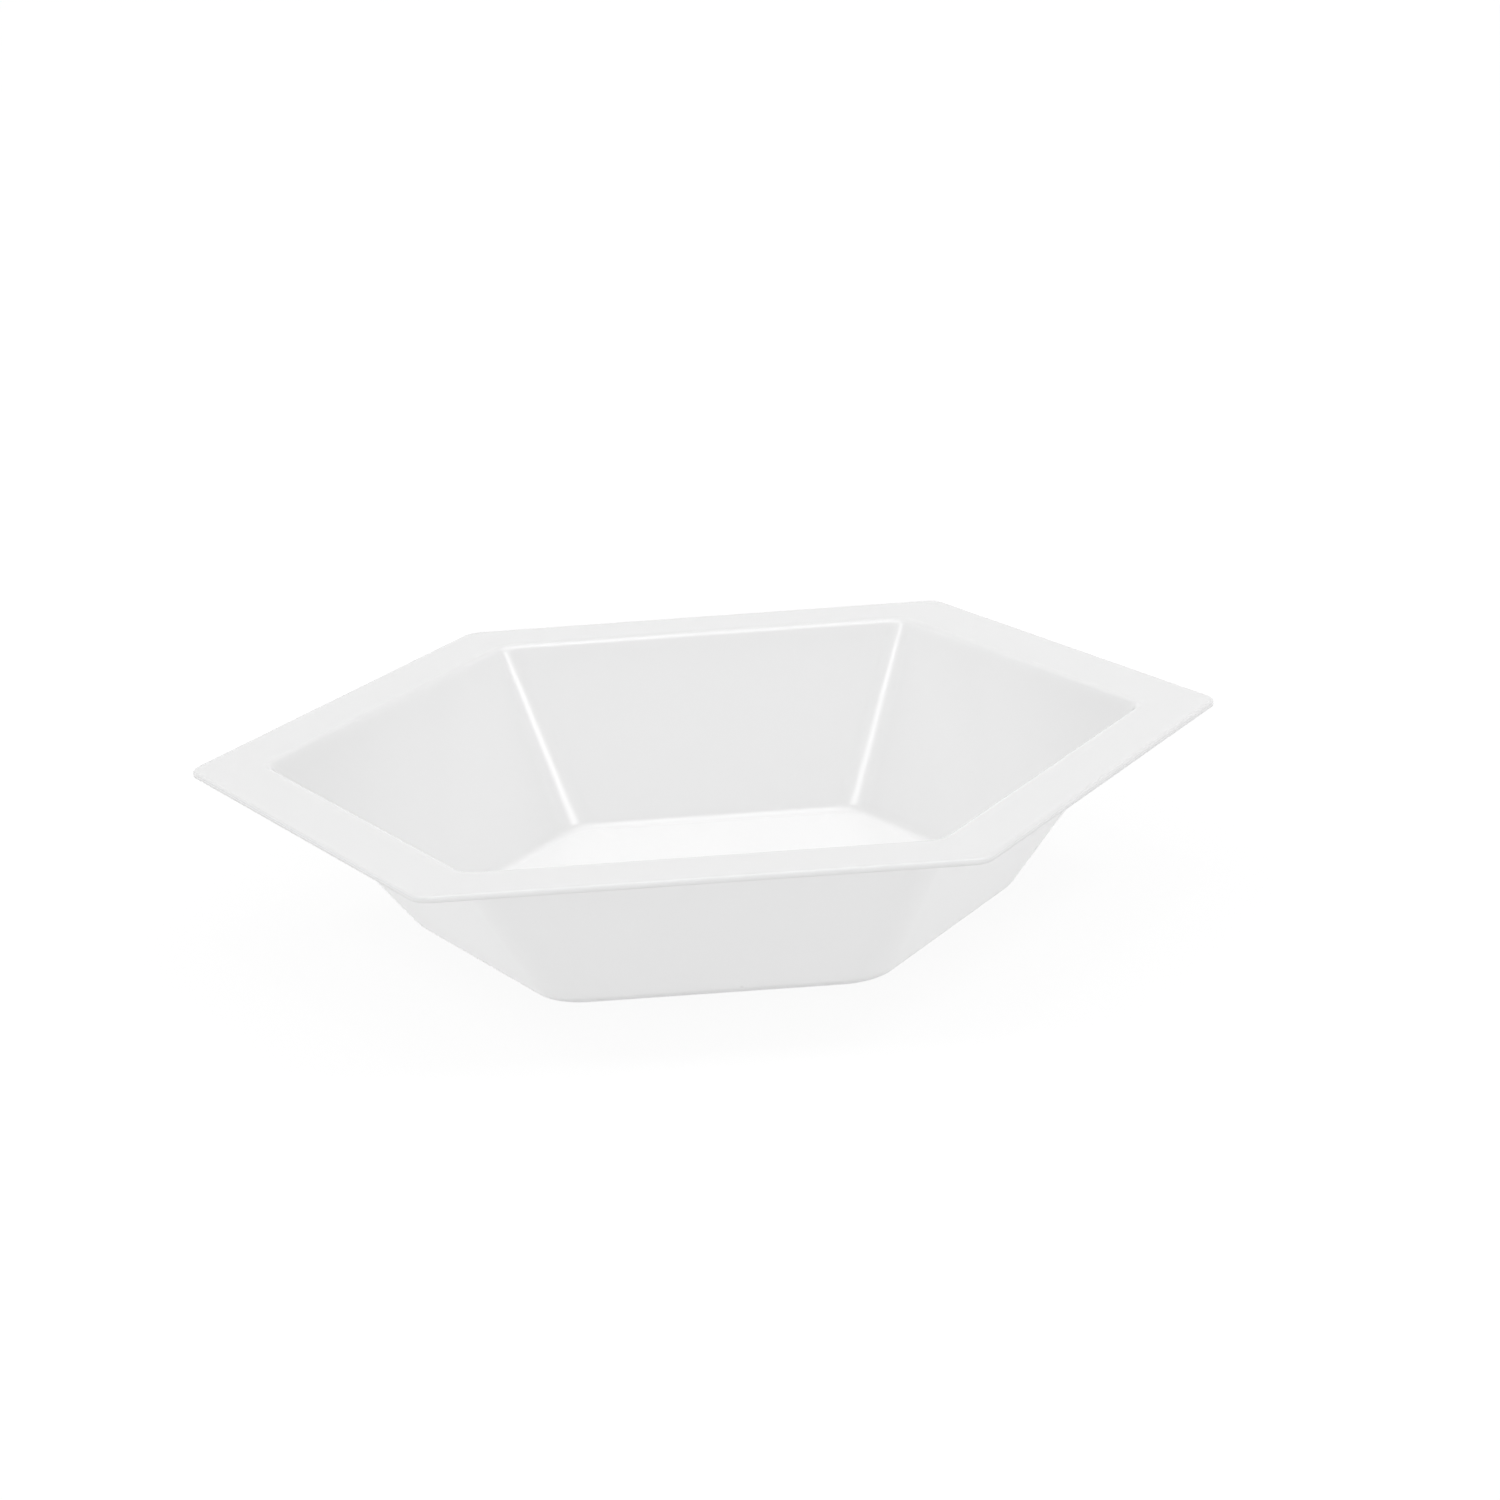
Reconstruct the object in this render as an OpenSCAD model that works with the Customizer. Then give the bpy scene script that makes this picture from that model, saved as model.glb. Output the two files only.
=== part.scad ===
// Weighing boat: a shallow hexagonal dish, thermoformed as one piece from a thin sheet of polystyrene.
// A flat narrow rim bends down into six sloping walls, and the walls bend into a flat floor.
// The origin is under the middle of the floor, +Z up, with two corners of the rim on the X axis.

/* [Overall] */
// Overall length, from one rounded corner of the rim to the opposite one
length = 53; // [36:0.5:150]
// Top of the rim above the surface that the boat stands on
height = 9.4; // [5:0.1:30]
// Thickness of the sheet
sheet = 0.3; // [0.2:0.05:0.8]

/* [Rim] */
// Width of the flat rim, from its cut edge to where its plane meets the plane of the wall
rim_w = 3.4; // [2:0.05:6]
// Radius of the rim's six corners, seen from above
rim_corner_r = 1.2; // [0.3:0.1:4]
// Inside radius of the bend from the rim into the walls, which is on the underside
lip_r = 0.3; // [0.1:0.05:1]

/* [Well] */
// How far each wall runs inwards on its way down, from the rim's plane to the floor's
wall_run = 6.2; // [3:0.05:8]
// Inside radius of the creases between neighbouring walls where they leave the rim, seen from above
crease_r = 1.5; // [0.3:0.1:3]
// Inside radius of the same creases where they reach the floor
floor_corner_r = 2.5; // [0.3:0.1:4]
// Inside radius of the bend from the walls into the floor
floor_r = 0.8; // [0.2:0.05:2]

/* [Smoothness] */
// Flat steps round each corner
corner_steps = 8; // [3:1:12]
// Flat steps in each bend
bend_steps = 8; // [3:1:12]

/* [Hidden] */

// A regular hexagon: each side turns by this much from the last
corner_turn = 60;
// Centre of the boat to the centre of the arc at a corner of the rim
rim_reach = length / 2 - rim_corner_r;
// Centre of the boat to the middle of a side of the rim
apothem = rim_reach * cos(corner_turn / 2) + rim_corner_r;
// Steepness of the walls, measured up from the floor
slope = atan2(height - sheet, wall_run);
// A bend begins this many radii short of the line where the two planes would meet
bend_reach = tan(slope / 2);
lip_top_r = lip_r + sheet;
lip_centre = [rim_w - lip_top_r * bend_reach, height - lip_top_r];
floor_centre = [rim_w + wall_run + floor_r * bend_reach, sheet + floor_r];

// The upper side of the bent sheet in section, from the rim down to the floor. Each entry holds
// the distance in from the rim's edge, the height, and the tilt of the surface there.
function lip_bend() = [
    for (i = [0 : bend_steps])
        let (tilt = slope * i / bend_steps)
            [lip_centre.x + lip_top_r * sin(tilt), lip_centre.y + lip_top_r * cos(tilt), tilt]
];
function floor_bend() = [
    for (i = [bend_steps : -1 : 0])
        let (tilt = slope * i / bend_steps)
            [floor_centre.x - floor_r * sin(tilt), floor_centre.y - floor_r * cos(tilt), tilt]
];
upper_side = concat(lip_bend(), floor_bend());

// The section point that lies straight through the sheet, on its underside
function through_sheet(p) = [p.x - sheet * sin(p.z), p.y - sheet * cos(p.z), p.z];

// Centre of a hexagon to the centre of its corner's arc, for a side moved in by inset
function corner_reach(inset, r) = (apothem - inset - r) / cos(corner_turn / 2);

// The outline of a hexagon with rounded corners, anticlockwise from the corner on +X
function outline(inset, r) = [
    for (corner = [0 : 5])
        for (i = [0 : corner_steps])
            let (centre = corner * corner_turn, turn = centre + corner_turn * (i / corner_steps - 0.5))
                corner_reach(inset, r) * [cos(centre), sin(centre)] + r * [cos(turn), sin(turn)]
];

// The radius of a crease at a height on the upper side. It opens out steadily on the way down.
function crease_at(z) =
    floor_corner_r + (crease_r - floor_corner_r) * (z - sheet) / (height - sheet);

// The outline at a section point. A crease keeps its centre line through the sheet, so its radius
// grows towards the underside by as much as the wall's plane moves out.
function upper_ring(p) = [for (q = outline(p.x, crease_at(p.y))) [q.x, q.y, p.y]];
function under_ring(p) =
    let (u = through_sheet(p))
        [for (q = outline(u.x, crease_at(p.y) + sheet * sin(p.z))) [q.x, q.y, u.y]];

// A closed band: rings of equal count, each joined to the next and the last to the first
module loft(rings) {
    count = len(rings[0]);
    function at(ring, i) = (ring % len(rings)) * count + i % count;
    polyhedron(
        points = [for (ring = rings) each ring],
        faces = [
            for (ring = [0 : len(rings) - 1])
                for (i = [0 : count - 1])
                    [at(ring, i), at(ring + 1, i), at(ring + 1, i + 1), at(ring, i + 1)]
        ]
    );
}

// The rim's outline, whose corners are true arcs
module rim_outline() {
    polygon([
        for (corner = [0 : 5])
            for (side = [-0.5, 0.5])
                let (centre = corner * corner_turn, turn = centre + corner_turn * side)
                    rim_reach * [cos(centre), sin(centre)] + rim_corner_r * [cos(turn), sin(turn)]
    ]);
    for (corner = [0 : 5])
        rotate(corner * corner_turn)
            translate([rim_reach, 0])
                circle(rim_corner_r, $fn = 6 * corner_steps);
}

module rim() {
    bend_start = upper_side[0];
    translate([0, 0, height - sheet])
        linear_extrude(sheet)
            difference() {
                rim_outline();
                polygon(outline(bend_start.x, crease_at(bend_start.y)));
            }
}

module walls() {
    last = len(upper_side) - 1;
    loft(concat(
        [for (p = upper_side) upper_ring(p)],
        [for (i = [last : -1 : 0]) under_ring(upper_side[i])]
    ));
}

module floor_panel() {
    bend_end = upper_side[len(upper_side) - 1];
    linear_extrude(sheet)
        polygon(outline(bend_end.x, crease_at(bend_end.y)));
}

module weighing_boat() {
    color("whitesmoke")
        union() {
            rim();
            walls();
            floor_panel();
        }
}

weighing_boat();
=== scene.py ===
# %% [markdown]
# # A small weighing boat
# A weighing boat is a disposable dish that carries powder to and from a balance. This one is a hexagon with
# a flat rim, six sloping walls and a flat floor, all pressed from one thin sheet of white polystyrene.
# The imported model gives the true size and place. This lesson makes the finished sheet around it: bends
# that are really round, a sheet that is really thin, and a satin plastic that lets a little light through.

# %% Load the frame
import math

import bmesh
import bpy
from mathutils import Matrix, Vector


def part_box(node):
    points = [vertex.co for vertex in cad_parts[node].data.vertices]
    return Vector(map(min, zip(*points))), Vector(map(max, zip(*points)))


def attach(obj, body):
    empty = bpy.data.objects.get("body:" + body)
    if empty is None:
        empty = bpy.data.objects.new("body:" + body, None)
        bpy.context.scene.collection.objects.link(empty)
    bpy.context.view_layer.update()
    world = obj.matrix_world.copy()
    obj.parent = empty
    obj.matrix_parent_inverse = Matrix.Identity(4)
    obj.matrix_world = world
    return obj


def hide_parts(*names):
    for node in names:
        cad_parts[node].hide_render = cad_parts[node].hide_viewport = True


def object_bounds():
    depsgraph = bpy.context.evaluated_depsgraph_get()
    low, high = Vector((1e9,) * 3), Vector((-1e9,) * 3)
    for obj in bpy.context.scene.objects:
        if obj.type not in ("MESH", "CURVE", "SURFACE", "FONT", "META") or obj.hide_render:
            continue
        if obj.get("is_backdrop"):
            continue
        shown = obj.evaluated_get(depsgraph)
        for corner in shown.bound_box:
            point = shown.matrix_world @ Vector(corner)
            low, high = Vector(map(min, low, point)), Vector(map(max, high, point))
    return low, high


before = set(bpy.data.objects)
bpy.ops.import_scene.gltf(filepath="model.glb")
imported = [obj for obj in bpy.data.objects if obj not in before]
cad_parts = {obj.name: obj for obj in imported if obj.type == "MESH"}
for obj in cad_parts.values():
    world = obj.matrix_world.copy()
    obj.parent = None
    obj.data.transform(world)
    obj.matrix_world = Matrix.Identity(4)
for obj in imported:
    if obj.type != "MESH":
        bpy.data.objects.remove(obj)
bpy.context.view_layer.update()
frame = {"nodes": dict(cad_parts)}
low, high = (Vector(corner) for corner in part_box("weighing_boat"))
length, width, height = high - low
print(f"frame: {', '.join(frame['nodes'])}")
print(f"packed size: {length * 1000:.2f} x {width * 1000:.2f} x {height * 1000:.2f} mm")

# %% [markdown]
# ## Sizes
# A regular hexagon with two corners on the X axis has its sides a fixed distance from the middle, the
# apothem, which is half the width of the box. The rest is the section of the sheet: how wide the rim is,
# how far a wall runs inwards on its way down, and how tightly the sheet bends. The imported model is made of
# facets, from which a radius can't be read well, so the radii are written out here.

# %% Sizes of the sheet
MM = 0.001
SIDES = 6
SECTOR = 2 * math.pi / SIDES
APOTHEM = width / 2
SHEET = 0.3 * MM
RIM_WIDTH = 3.4 * MM
WALL_RUN = 6.2 * MM
RIM_CORNER_RADIUS = 1.2 * MM
CREASE_RADIUS = 1.5 * MM
FLOOR_CORNER_RADIUS = 2.5 * MM
LIP_RADIUS = 0.6 * MM
FLOOR_RADIUS = 0.8 * MM

wall_slope = math.atan2(height - SHEET, WALL_RUN)
print(f"walls slope {math.degrees(wall_slope):.1f} degrees up from the floor")

# %% [markdown]
# ## The section
# Cut the boat from its edge to its middle and the upper side of the sheet draws one line: along the rim,
# round the lip, down the wall, round into the floor and in to the middle. A bevel could round the bends
# afterwards, but it has one width, and the creases between the walls open out on the way down. So the
# radii are worked into the section. A bend of radius r through an angle a begins r tan(a/2) before the
# line where the two flats would meet, and its centre is r away from both. Each entry of the section holds
# the distance in from the rim's edge, the height, and the radius of the hexagon's corners at that level.

# %% Helpers for the section
def between(start, end, steps):
    """Evenly spaced section entries from start up to, but not at, end."""
    return [
        tuple(a + (b - a) * i / steps for a, b in zip(start, end, strict=True)) for i in range(steps)
    ]


def crease_at(z):
    """The radius of the creases at a height. They open out steadily on the way down."""
    drop = (height - z) / (height - SHEET)
    return CREASE_RADIUS + (FLOOR_CORNER_RADIUS - CREASE_RADIUS) * drop


def bend(centre_in, centre_z, radius, tilts):
    """Section entries round a bend. A negative radius puts the sheet under the bend's centre."""
    line = [(centre_in + radius * math.sin(t), centre_z + radius * math.cos(t)) for t in tilts]
    return [(inset, z, crease_at(z)) for inset, z in line]


at_rim, at_floor = crease_at(height) * 1000, crease_at(SHEET) * 1000
print(f"creases: radius {at_rim:.1f} mm at the rim, {at_floor:.1f} mm at the floor")

# %% [markdown]
# ## From the rim to the floor
# The wall leans away from the rim and from the floor by the same angle, so one list of tilts serves both
# bends. The lip goes round a centre below the sheet, and the bend at the floor round one above it. The
# flat stretches could be one long step each, but a few even steps keep their faces from growing too long.

# %% The section of the upper side
RIM_STEPS, BEND_STEPS, WALL_STEPS, FLOOR_STEPS = 4, 10, 10, 5
LAST_APOTHEM = 2 * MM
LAST_CORNER_RADIUS = 0.4 * MM

tilts_down = [wall_slope * i / BEND_STEPS for i in range(BEND_STEPS + 1)]
bend_start = math.tan(wall_slope / 2)
lip = bend(RIM_WIDTH - LIP_RADIUS * bend_start, height - LIP_RADIUS, LIP_RADIUS, tilts_down)
floor_bend = bend(
    RIM_WIDTH + WALL_RUN + FLOOR_RADIUS * bend_start, SHEET + FLOOR_RADIUS, -FLOOR_RADIUS, tilts_down[::-1]
)
rim_edge = (0, height, RIM_CORNER_RADIUS)
floor_middle = (APOTHEM - LAST_APOTHEM, SHEET, LAST_CORNER_RADIUS)
section = (
    between(rim_edge, lip[0], RIM_STEPS)
    + lip[:-1]
    + between(lip[-1], floor_bend[0], WALL_STEPS)
    + floor_bend[:-1]
    + between(floor_bend[-1], floor_middle, FLOOR_STEPS)
    + [floor_middle]
)
print(f"section: {len(section)} levels from the rim's edge to the middle of the floor")

# %% [markdown]
# ## The outlines
# At every level the boat is a hexagon with rounded corners, and spin can draw one like a pen. Turned
# about the centre of a corner, it pulls a vertex round in a true arc. With no angle and a step to the side it
# pulls the vertex along a straight line. Six arcs and six lines later the pen is back where it began. A
# six-sided circle with bevelled corners comes close to it, but a bevel asks for widths and not for radii.
# Every stroke takes longer in a bigger bmesh, so each outline is drawn in a small one of its own.

# %% A pen that draws a rounded hexagon
CORNER_STEPS, SIDE_STEPS = 12, 16
UP = Vector((0, 0, 1))


def spoke(turns, distance, z=0):
    """The point at a distance from the middle, so many sixths of a turn round from +X."""
    return Matrix.Rotation(SECTOR * turns, 3, "Z") @ Vector((distance, 0, z))


def rounded_hexagon(outline, inset, z, corner_radius):
    """Fills a mesh with a closed outline of six rounded corners, two of them on the X axis."""
    corner_distance = (APOTHEM - inset - corner_radius) / math.cos(SECTOR / 2)
    drawing = bmesh.new()
    start = spoke(0, corner_distance, z) + spoke(-0.5, corner_radius)
    first = pen = bmesh.ops.create_vert(drawing, co=start)["vert"][0]
    for corner in range(SIDES):
        centre = spoke(corner, corner_distance, z)
        step = spoke(corner + 2, corner_distance / SIDE_STEPS)
        steps = SIDE_STEPS if corner < SIDES - 1 else SIDE_STEPS - 1
        arc = bmesh.ops.spin(
            drawing, geom=[pen], cent=centre, axis=UP, angle=SECTOR, steps=CORNER_STEPS
        )
        line = bmesh.ops.spin(
            drawing, geom=arc["geom_last"], cent=centre, axis=UP, dvec=step, steps=steps
        )
        pen = line["geom_last"][0]
    bmesh.ops.contextual_create(drawing, geom=[pen, first])
    drawing.to_mesh(outline)
    drawing.free()


per_outline = SIDES * (CORNER_STEPS + SIDE_STEPS)
print(f"outline: {per_outline} edges")

# %% [markdown]
# ## The formed sheet
# The real sheet is drawn into its mould in one stroke. Bridging each outline to the next gives its whole
# upper side as clean rows of four-sided faces, and keeps the radii that a subdivided cage would only come
# near. Two outlines in one plane, as on the rim and the floor, give bridge_loops no up or down to go by, and
# it can turn a row over. So the outlines are stacked a millimetre apart like a lampshade, and each is let
# down to its own height once the faces are on. The middle of the floor is filled and poked to a fan.

# %% Bridge the outlines
STACK_STEP = 1 * MM

mesh = bpy.data.meshes.new("boat_sheet")
bm = bmesh.new()
for storey, (inset, _, corner_radius) in enumerate(section):
    rounded_hexagon(mesh, inset, -storey * STACK_STEP, corner_radius)
    bm.from_mesh(mesh)
edges = list(bm.edges)
outlines = [edges[i : i + per_outline] for i in range(0, len(edges), per_outline)]
for outer, inner in zip(outlines, outlines[1:]):
    bmesh.ops.bridge_loops(bm, edges=outer + inner)
for vert in bm.verts:
    vert.co.z = section[round(-vert.co.z / STACK_STEP)][1]
middle = bmesh.ops.contextual_create(bm, geom=outlines[-1])["faces"]
bmesh.ops.poke(bm, faces=middle)
bmesh.ops.recalc_face_normals(bm, faces=bm.faces)
if sum(face.normal.z * face.calc_area() for face in bm.faces) < 0:
    bmesh.ops.reverse_faces(bm, faces=bm.faces)
for face in bm.faces:
    face.smooth = True
bm.to_mesh(mesh)
print(f"sheet: {len(bm.verts)} vertices, {len(bm.faces)} faces")
bm.free()

boat = bpy.data.objects.new("boat_sheet", mesh)
bpy.context.collection.objects.link(boat)

# %% [markdown]
# ## Thickness
# So far the sheet is only its upper side. A second skin could be bridged below it, but each of its radii
# would have to be worked out again. Solidify does that by itself: it grows the sheet downwards by the
# thickness of the polystyrene, measured square to the surface, so the walls are as thick as the floor. The
# result is kept as a plain mesh, because the cut edge comes next and only one of its two corners is worked.

# %% Give the sheet its thickness
solidify = boat.modifiers.new("thickness", "SOLIDIFY")
solidify.thickness = SHEET
solidify.offset = -1
solidify.use_even_offset = True
solidify.use_quality_normals = True

thick_boat = boat.evaluated_get(bpy.context.evaluated_depsgraph_get())
boat.data = bpy.data.meshes.new_from_object(thick_boat)
boat.modifiers.clear()
print(f"thick sheet: {len(boat.data.polygons)} faces")

# %% [markdown]
# ## The cut edge
# The press trims the rim from above with a steel rule. The blade rolls the upper corner of the edge over
# and leaves the lower one sharp. A Bevel modifier would round both, so bmesh bevels the upper corner alone.
# The faces that look down or sideways are marked here as the underside, for the plastic to read. Weighted
# normals then keep the flats flat where they run into the bends.

# %% Roll over the upper corner of the cut edge
EDGE_ROUNDING = 0.15 * MM
SHARP = math.radians(60)
FACING_UP = 0.1

bm = bmesh.new()
bm.from_mesh(boat.data)
cut_edges = [edge for edge in bm.edges if edge.calc_face_angle(0) > SHARP]
upper_edges = [edge for edge in cut_edges if edge.verts[0].co.z > height - SHEET / 2]
bmesh.ops.bevel(
    bm, geom=upper_edges, offset=EDGE_ROUNDING, segments=4, profile=0.5, affect="EDGES", material=-1
)
for edge in bm.edges:
    edge.smooth = edge.calc_face_angle(0) < SHARP
underside = bm.faces.layers.float.new("underside")
for face in bm.faces:
    face[underside] = 1.0 if face.normal.z < FACING_UP else 0.0
bm.to_mesh(boat.data)
bm.free()

flats = boat.modifiers.new("flats", "WEIGHTED_NORMAL")
flats.keep_sharp = True
print(f"cut edge: {len(upper_edges)} upper edges of {len(cut_edges)} rounded")

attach(boat, "root")
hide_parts("weighing_boat")

# %% [markdown]
# ## White polystyrene
# The plastic is filled white with a satin skin. The walls, the rim and the floor could have a material each,
# but a seam would show where two of them meet, so one shader does it all. A small helper keeps the node
# trees short: it makes a node and sets its properties and its inputs by name.

# %% A helper for nodes
POLYSTYRENE_IOR = 1.59


def add_node(tree, kind, **settings):
    """A new node with its properties set, and its inputs where the name is one of them."""
    node = tree.nodes.new(kind)
    for name, value in settings.items():
        socket = next((s for s in node.inputs if s.name == name.replace("_", " ")), None)
        if socket is None:
            setattr(node, name, value)
        else:
            socket.default_value = value
    return node


plastic = bpy.data.materials.new("white_polystyrene")
plastic.use_nodes = True
tree = plastic.node_tree
links = tree.links
skin = tree.nodes["Principled BSDF"]
skin.inputs["IOR"].default_value = POLYSTYRENE_IOR
place = add_node(tree, "ShaderNodeTexCoord")
axes = add_node(tree, "ShaderNodeSeparateXYZ")
links.new(place.outputs["Object"], axes.inputs["Vector"])
print(f"{plastic.name}: index of refraction {POLYSTYRENE_IOR}")

# %% [markdown]
# ## Light through the walls
# The walls are thin enough for light to pass through them, so the outer walls glow with what falls into the
# dish. A Translucent shader mixed in would show this too, but subsurface scattering is part of the same
# shader and softens the shading as the real plastic does. The floor lies on the table, where nothing shines
# through, so a mask made from the height turns the scattering off there.

# %% Scattering
SCATTER_DEPTH = 1.8 * MM
FLOOR_TOP = SHEET
WALLS_FROM = 1.7 * SHEET

skin.inputs["Subsurface Radius"].default_value = (1, 1, 1)
skin.inputs["Subsurface Scale"].default_value = SCATTER_DEPTH
above_floor = add_node(tree, "ShaderNodeMapRange", From_Min=FLOOR_TOP, From_Max=WALLS_FROM)
links.new(axes.outputs["Z"], above_floor.inputs["Value"])
links.new(above_floor.outputs["Result"], skin.inputs["Subsurface Weight"])
print(f"scattering: {SCATTER_DEPTH * 1000:.1f} mm deep, from {FLOOR_TOP * 1000:.1f} mm up")

# %% [markdown]
# ## Painted shading on the walls
# On the upper side the slanting walls are painted brightest just past the creases and grey towards the two
# long ends: painted light near the creases and painted shade towards the ends. A colour ramp gives this white
# by the distance from the middle. It could be painted on an image, but a ramp on Object coordinates has no
# seams, and it stays with the boat wherever the eye is. A new ramp has a black stop and a white stop of its
# own, and they come off once the others are on.

# %% Painted shading of the walls
# Painted light just past the creases, painted shade towards the two long ends.
PAINTED_WALL_SHADING = ((8.0, 0.935), (11.0, 0.99), (15.0, 0.86), (21.0, 0.76))

sideways = add_node(tree, "ShaderNodeMath", operation="ABSOLUTE")
links.new(axes.outputs["X"], sideways.inputs[0])
to_the_end = add_node(tree, "ShaderNodeMapRange", From_Max=length / 2)
links.new(sideways.outputs["Value"], to_the_end.inputs["Value"])
painted_wall_shading = add_node(tree, "ShaderNodeValToRGB")
painted_wall_shading.color_ramp.interpolation = "EASE"
for distance, white in PAINTED_WALL_SHADING:
    stop = painted_wall_shading.color_ramp.elements.new(distance * MM / (length / 2))
    stop.color = (white, white, white, 1)
painted_wall_shading.color_ramp.elements.remove(painted_wall_shading.color_ramp.elements[-1])
painted_wall_shading.color_ramp.elements.remove(painted_wall_shading.color_ramp.elements[0])
links.new(to_the_end.outputs["Result"], painted_wall_shading.inputs["Fac"])
print("walls: " + ", ".join(f"{white} at {distance:.0f} mm" for distance, white in PAINTED_WALL_SHADING))

# %% [markdown]
# ## One white over another
# The floor is painted whiter than the walls, a painted light. The rim is painted greyer than the walls and
# greyest at its left end, a painted shade. The underside is one plain white. Hard borders between them would
# show, so masks blend them: which side of the sheet it is, how far along the rim, and how high. A Mix node
# has several sockets of one name, so its colours are found by their places in the list.

# %% The whites of the sheet, with painted light and shade
UNDERSIDE_WHITE = 0.93
# Painted shade: the rim greyer than the walls, greyest at its left end.
RIM_PAINTED_SHADE_LEFT, RIM_PAINTED_SHADE_RIGHT = 0.83, 0.88
# Painted light: the floor whiter than the rest of the sheet.
FLOOR_PAINTED_LIGHT = 0.96
LIP_FROM, RIM_FROM = height - 0.15 * MM, height - 0.05 * MM
COLOUR_A, COLOUR_B, COLOUR_RESULT = 6, 7, 2


def mix_white(tree, factor, low_white, high_white):
    """Two whites blended by a mask. Each is a grey level or the colour socket of another blend."""
    blend = add_node(tree, "ShaderNodeMix", data_type="RGBA")
    tree.links.new(factor, blend.inputs["Factor"])
    for socket, white in ((blend.inputs[COLOUR_A], low_white), (blend.inputs[COLOUR_B], high_white)):
        if isinstance(white, float):
            socket.default_value = (white, white, white, 1)
        else:
            tree.links.new(white, socket)
    return blend.outputs[COLOUR_RESULT]


side = add_node(tree, "ShaderNodeAttribute", attribute_name="underside")
upper_side = add_node(tree, "ShaderNodeMapRange", To_Min=1, To_Max=0)
links.new(side.outputs["Fac"], upper_side.inputs["Value"])
along = add_node(tree, "ShaderNodeMapRange", From_Min=-length / 2, From_Max=length / 2)
links.new(axes.outputs["X"], along.inputs["Value"])
on_rim = add_node(tree, "ShaderNodeMapRange", From_Min=LIP_FROM, From_Max=RIM_FROM)
links.new(axes.outputs["Z"], on_rim.inputs["Value"])

# The walls' painted shading, on the upper side only.
wall_white = mix_white(tree, upper_side.outputs["Result"], UNDERSIDE_WHITE, painted_wall_shading.outputs["Color"])
# The rim's painted shade, greyest at the left end.
rim_painted_shade = mix_white(tree, along.outputs["Result"], RIM_PAINTED_SHADE_LEFT, RIM_PAINTED_SHADE_RIGHT)
side_white = mix_white(tree, on_rim.outputs["Result"], wall_white, rim_painted_shade)
# The floor's painted light, blended in by height.
white_with_painted_light_and_shade = mix_white(tree, above_floor.outputs["Result"], FLOOR_PAINTED_LIGHT, side_white)
print(f"underside {UNDERSIDE_WHITE}, rim {RIM_PAINTED_SHADE_LEFT} to {RIM_PAINTED_SHADE_RIGHT}, floor {FLOOR_PAINTED_LIGHT}")

# %% [markdown]
# ## Specks
# A used dish has a few faint marks: here a speck low on the front wall, one on the wall to its right, and
# a small bruise on the rim's edge at the left. Decals or an image could hold them, but three dots need
# neither. Each is a small soft ball in space, measured as the distance from its centre, and where a ball
# cuts the sheet the white darkens a little.

# %% Faint specks
SPECK_WHITE = 0.76
SPECKS = (
    (Vector((1.3, -13.9, 0.6)) * MM, 0.20 * MM),
    (Vector((16.85, -1.3, 2.3)) * MM, 0.22 * MM),
    (Vector((-21.5, 9.0, 9.4)) * MM, 0.22 * MM),
)

speck_mask = None
for centre, radius in SPECKS:
    away = add_node(tree, "ShaderNodeVectorMath", operation="DISTANCE")
    away.inputs[1].default_value = centre
    links.new(place.outputs["Object"], away.inputs[0])
    dot = add_node(tree, "ShaderNodeMapRange", From_Min=radius, From_Max=radius / 2)
    links.new(away.outputs["Value"], dot.inputs["Value"])
    if speck_mask is None:
        speck_mask = dot.outputs["Result"]
    else:
        either = add_node(tree, "ShaderNodeMath", operation="MAXIMUM")
        links.new(speck_mask, either.inputs[0])
        links.new(dot.outputs["Result"], either.inputs[1])
        speck_mask = either.outputs["Value"]
links.new(mix_white(tree, speck_mask, white_with_painted_light_and_shade, SPECK_WHITE), skin.inputs["Base Color"])
print(f"specks: {len(SPECKS)}")

# %% [markdown]
# ## Satin
# The upper side was pressed against polished metal and is a clear satin. One roughness all over would draw
# every highlight alike, so a slow noise makes the satin a little uneven and the highlights soft here and
# crisp there. The underside is duller. A very fine bump stands for the grain of the extruded sheet, which
# is far too fine to model.

# %% Satin and grain
CLEAREST_SATIN, DULLEST_SATIN = 0.2, 0.26
UNDERSIDE_DULLER_BY = 0.09
CLOUDS_PER_METRE = 220
GRAINS_PER_METRE = 4000
GRAIN_DEPTH = 0.01 * MM

cloud = add_node(tree, "ShaderNodeTexNoise", Scale=CLOUDS_PER_METRE, Detail=3)
links.new(place.outputs["Object"], cloud.inputs["Vector"])
satin = add_node(tree, "ShaderNodeMapRange", To_Min=CLEAREST_SATIN, To_Max=DULLEST_SATIN)
links.new(cloud.outputs["Fac"], satin.inputs["Value"])
duller = add_node(tree, "ShaderNodeMath", operation="MULTIPLY_ADD")
duller.inputs[1].default_value = UNDERSIDE_DULLER_BY
links.new(side.outputs["Fac"], duller.inputs[0])
links.new(satin.outputs["Result"], duller.inputs[2])
links.new(duller.outputs["Value"], skin.inputs["Roughness"])

grain = add_node(tree, "ShaderNodeTexNoise", Scale=GRAINS_PER_METRE, Detail=2)
links.new(place.outputs["Object"], grain.inputs["Vector"])
grain_bump = add_node(tree, "ShaderNodeBump", Strength=0.1, Distance=GRAIN_DEPTH)
links.new(grain.outputs["Fac"], grain_bump.inputs["Height"])
links.new(grain_bump.outputs["Normal"], skin.inputs["Normal"])

boat.data.materials.append(plastic)
print(f"{plastic.name}: {len(tree.nodes)} nodes")

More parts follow.
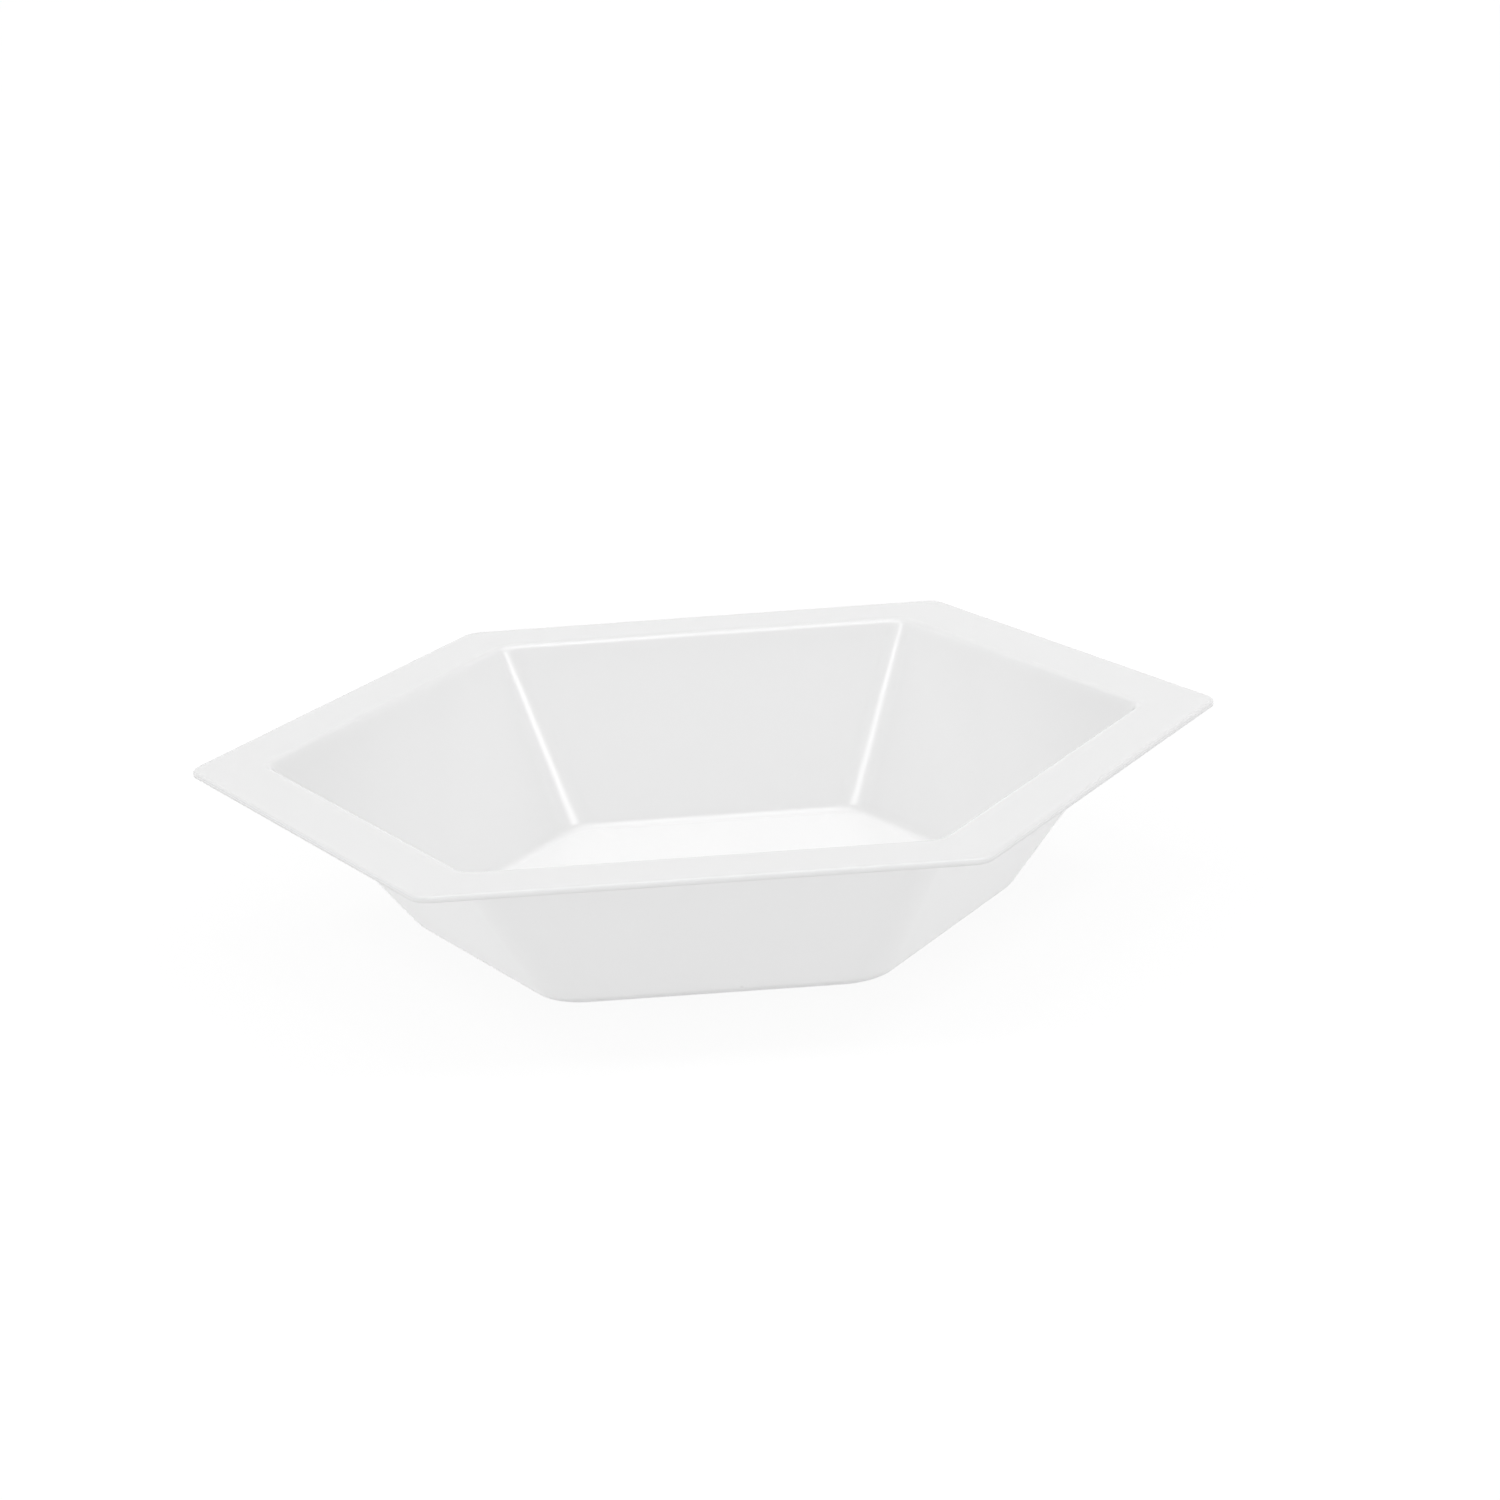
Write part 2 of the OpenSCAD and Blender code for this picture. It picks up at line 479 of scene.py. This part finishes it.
# %% [markdown]
# ## The table
# The boat stands on a sheet of matt white acrylic. A small square would do for the shadow, but its edge
# would cross the view, so the table is a circle too wide for its edge to be seen. It lies a hair below
# the floor of the boat, because two surfaces at one height would flicker.

# %% The table
TABLE_RADIUS = 3.0
TABLE_DROP = 0.05 * MM

table_mesh = bpy.data.meshes.new("stage_table")
bm = bmesh.new()
bmesh.ops.create_circle(bm, cap_ends=True, segments=64, radius=TABLE_RADIUS)
bmesh.ops.translate(bm, verts=bm.verts, vec=(0, 0, -TABLE_DROP))
bm.to_mesh(table_mesh)
bm.free()
table = bpy.data.objects.new("stage_table", table_mesh)
bpy.context.collection.objects.link(table)
table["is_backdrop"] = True
print(f"table: {TABLE_RADIUS:.0f} m in radius")

# %% [markdown]
# ## What is seen and what lights the boat
# The table and the room behind it have to look white. Turning the lamps up until they do would burn the boat
# out as well. So both get two strengths, and a Light Path node tells their uses apart: rays from the lens,
# in reflections and through glass count as seen, and all the others light the boat.

# %% A choice between two looks
def seen_directly(tree):
    """1 for rays from the lens, reflections and glass, and 0 for the light that reaches the boat."""
    ray = add_node(tree, "ShaderNodeLightPath")
    seen = ray.outputs["Is Camera Ray"]
    for kind in ("Is Glossy Ray", "Is Transmission Ray"):
        either = add_node(tree, "ShaderNodeMath", operation="MAXIMUM")
        tree.links.new(seen, either.inputs[0])
        tree.links.new(ray.outputs[kind], either.inputs[1])
        seen = either.outputs["Value"]
    return seen


acrylic = bpy.data.materials.new("white_acrylic")
acrylic.use_nodes = True
acrylic_tree = acrylic.node_tree
acrylic_tree.nodes.remove(acrylic_tree.nodes["Principled BSDF"])
choice = add_node(acrylic_tree, "ShaderNodeMixShader")
acrylic_tree.links.new(seen_directly(acrylic_tree), choice.inputs[0])
acrylic_tree.links.new(choice.outputs[0], acrylic_tree.nodes["Material Output"].inputs["Surface"])
print(f"{acrylic.name}: {len(acrylic_tree.nodes)} nodes to choose between two looks")

# %% [markdown]
# ## The table's acrylic
# The acrylic has a little light under it, as in a product studio, which keeps the underside of a white dish
# from going grey. Paint alone would need brighter lamps. The light that reaches the boat comes from a
# plain mixture of paint and glow. What is seen has more glow, so that the table runs out to nearly pure
# white and the boat's shadow stays on it, faintly.

# %% White acrylic
PAINT_WHITE = 0.20
GLOW_ON_THE_BOAT = 0.46
GLOW_SEEN = 0.83


def lit_acrylic(tree, paint_white, glow_strength):
    """Matt white acrylic: some of its light is reflected, and some comes from under it."""
    paint = add_node(tree, "ShaderNodeBsdfDiffuse", Color=(paint_white, paint_white, paint_white, 1))
    glow = add_node(tree, "ShaderNodeEmission", Strength=glow_strength)
    both = add_node(tree, "ShaderNodeAddShader")
    tree.links.new(paint.outputs[0], both.inputs[0])
    tree.links.new(glow.outputs[0], both.inputs[1])
    return both.outputs[0]


acrylic_tree.links.new(lit_acrylic(acrylic_tree, PAINT_WHITE, GLOW_ON_THE_BOAT), choice.inputs[1])
acrylic_tree.links.new(lit_acrylic(acrylic_tree, PAINT_WHITE, GLOW_SEEN), choice.inputs[2])
table_mesh.materials.append(acrylic)
print(f"{acrylic.name}: {len(acrylic_tree.nodes)} nodes")

# %% [markdown]
# ## Light from all round
# A white dish shows its form by very small steps of grey, and they come from how much of the room each
# wall sees. A few lamps alone would draw hard shadows over those steps. So most of the light comes evenly
# from all round, just below white. What the lens sees behind the boat is pure white.

# %% The room's light
AMBIENT = 0.84

world = bpy.data.worlds.new("world")
bpy.context.scene.world = world
world.use_nodes = True
room_tree = world.node_tree
background = room_tree.nodes["Background"]
background.inputs["Color"].default_value = (1, 1, 1, 1)
strength = add_node(room_tree, "ShaderNodeMapRange", To_Min=AMBIENT, To_Max=1)
room_tree.links.new(seen_directly(room_tree), strength.inputs["Value"])
room_tree.links.new(strength.outputs["Result"], background.inputs["Strength"])
print(f"room: {AMBIENT} of white from all round")

# %% [markdown]
# ## Softboxes
# The bright lines in the creases at the back are reflections. Pale stripes could be painted there instead,
# but they would stay put when the eye moves. Each crease faces across the dish, so the left one mirrors a
# small softbox on the right and the right one a small softbox on the left. They hang well out to the side, a
# little nearer the eye than the boat, and about 50 degrees up. The large box overhead draws the line along
# the back lip. It adds only shine, because the room's light is already even.

# %% Three softboxes
def softbox(name, towards, distance, size, radiance):
    """A square softbox in a direction from the boat, facing it, as bright as its radiance says."""
    data = bpy.data.lights.new(name, "AREA")
    data.shape = "SQUARE"
    data.size = size
    data.energy = radiance * math.pi * size * size
    lamp = bpy.data.objects.new(name, data)
    lamp.location = Vector(towards).normalized() * distance
    lamp.rotation_euler = lamp.location.to_track_quat("Z", "Y").to_euler()
    bpy.context.collection.objects.link(lamp)
    print(f"{name}: {data.energy:.3f} W at {distance} m")
    return lamp


softbox("left_softbox", (-0.62, -0.14, 0.77), distance=0.5, size=0.1, radiance=5.7)
softbox("right_softbox", (0.59, -0.16, 0.79), distance=0.5, size=0.1, radiance=6.3)
top_softbox = softbox("top_softbox", (0, 0.12, 0.993), distance=0.5, size=0.4, radiance=1.8)
top_softbox.visible_diffuse = False

# %% [markdown]
# ## A pool of light
# The floor of the dish faces straight up and is the brightest part of the boat. A wider lamp would light
# the rim as well, so a narrow spot from right above does it, and fades out before it reaches the rim.

# %% The overhead spot
POOL_POWER = 1.1
POOL_CONE = math.radians(4.2)
POOL_HEIGHT = 0.5
POOL_LAMP_SIZE = 30 * MM

pool = bpy.data.lights.new("overhead_pool", "SPOT")
pool.energy = POOL_POWER
pool.spot_size = POOL_CONE
pool.spot_blend = 1
pool.shadow_soft_size = POOL_LAMP_SIZE
pool_lamp = bpy.data.objects.new("overhead_pool", pool)
pool_lamp.location = (0, 0, POOL_HEIGHT)
bpy.context.collection.objects.link(pool_lamp)
pool_radius = POOL_HEIGHT * math.tan(POOL_CONE / 2)
print(f"overhead pool: {POOL_POWER} W, {pool_radius * 1000:.0f} mm in radius at the floor")

# %% [markdown]
# ## The camera
# The lens looks a little down into the dish from close by, with the long diagonal of the rim across the
# view and a slight lean, so that the back wall and a strip of the floor show over the front rim. Its place
# is given by the direction from the boat, because that is easier to judge than three coordinates. The
# view transform is Standard, which shows each white as it is lit. Light bounces many times inside a
# white dish, so the count of diffuse bounces goes up from four to twelve.

# %% The camera
CAMERA_AZIMUTH, CAMERA_ELEVATION, CAMERA_ROLL = (math.radians(a) for a in (0.69, 17.15, -4.22))
CAMERA_DISTANCE = 218.6 * MM
CAMERA_TARGET = Vector((2.4, 0, 8.34)) * MM
FOCAL_LENGTH, SENSOR_WIDTH = 101.1, 36
DIFFUSE_BOUNCES = 12

camera = bpy.data.cameras.new("camera")
camera.sensor_width = SENSOR_WIDTH
camera.lens = FOCAL_LENGTH
camera.clip_start = 0.01
viewer = bpy.data.objects.new("camera", camera)
bpy.context.collection.objects.link(viewer)
back = Vector(
    (
        math.sin(CAMERA_AZIMUTH) * math.cos(CAMERA_ELEVATION),
        -math.cos(CAMERA_AZIMUTH) * math.cos(CAMERA_ELEVATION),
        math.sin(CAMERA_ELEVATION),
    )
)
aim = back.to_track_quat("Z", "Y") @ Matrix.Rotation(CAMERA_ROLL, 3, "Z").to_quaternion()
viewer.location = CAMERA_TARGET + back * CAMERA_DISTANCE
viewer.rotation_euler = aim.to_euler()
scene = bpy.context.scene
scene.camera = viewer
scene.view_settings.view_transform = "Standard"
scene.cycles.diffuse_bounces = DIFFUSE_BOUNCES
print(f"camera: {CAMERA_DISTANCE * 1000:.0f} mm away, {math.degrees(CAMERA_ELEVATION):.2f} degrees up")

# %% [markdown]
# ## Sizes and finish
# The made boat is measured, and its size is printed beside the packed size from the start.

# %% Sizes and finish
boat_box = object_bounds()
made = [(b - a) * 1000 for a, b in zip(*boat_box, strict=True)]
print("boat: " + " x ".join(f"{size:.2f}" for size in made) + " mm")
